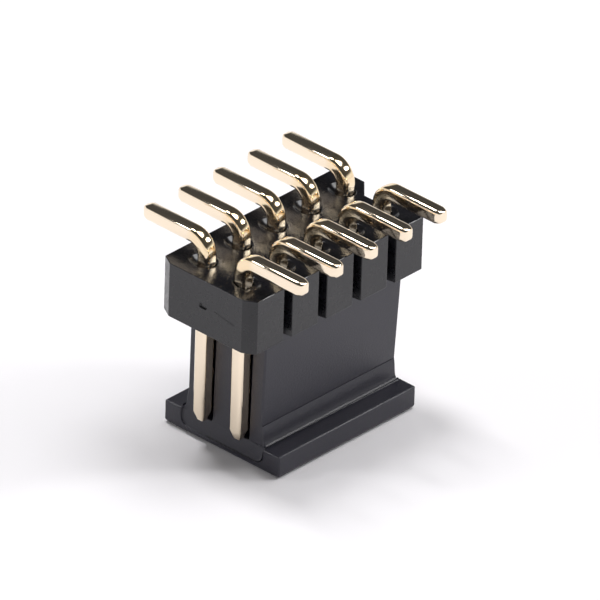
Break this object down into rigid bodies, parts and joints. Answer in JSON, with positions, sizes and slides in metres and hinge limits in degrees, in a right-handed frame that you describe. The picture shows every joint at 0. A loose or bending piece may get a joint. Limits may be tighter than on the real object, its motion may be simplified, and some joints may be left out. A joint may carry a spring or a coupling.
{
  "type": "surface-mount pin header",
  "caption": "Fine-pitch surface-mount pin header with bent solder tails, seated on the cap that a placing nozzle picks it up by.",
  "frame": {"origin": "centre of the cap's flat underside, which is also the bottom centre of the part's bounding box", "axes": "+X along the rows of pins, +Y across the rows along the left row's tails, +Z from the cap towards the circuit board"},
  "size_m": [0.0064, 0.0056, 0.0061],
  "materials": {
    "insulator_plastic": "matte black, fine grain",
    "cap_plastic": "matte black, fine grain",
    "pin_plating": "thin pale gold plating, satin"
  },
  "bodies": {
    "root": {"insulator": "insulator_plastic", "cap": "cap_plastic", "pin_left_1": "pin_plating", "pin_left_2": "pin_plating", "pin_left_3": "pin_plating", "pin_left_4": "pin_plating", "pin_left_5": "pin_plating", "pin_right_1": "pin_plating", "pin_right_2": "pin_plating", "pin_right_3": "pin_plating", "pin_right_4": "pin_plating", "pin_right_5": "pin_plating"}
  },
  "joints": []
}
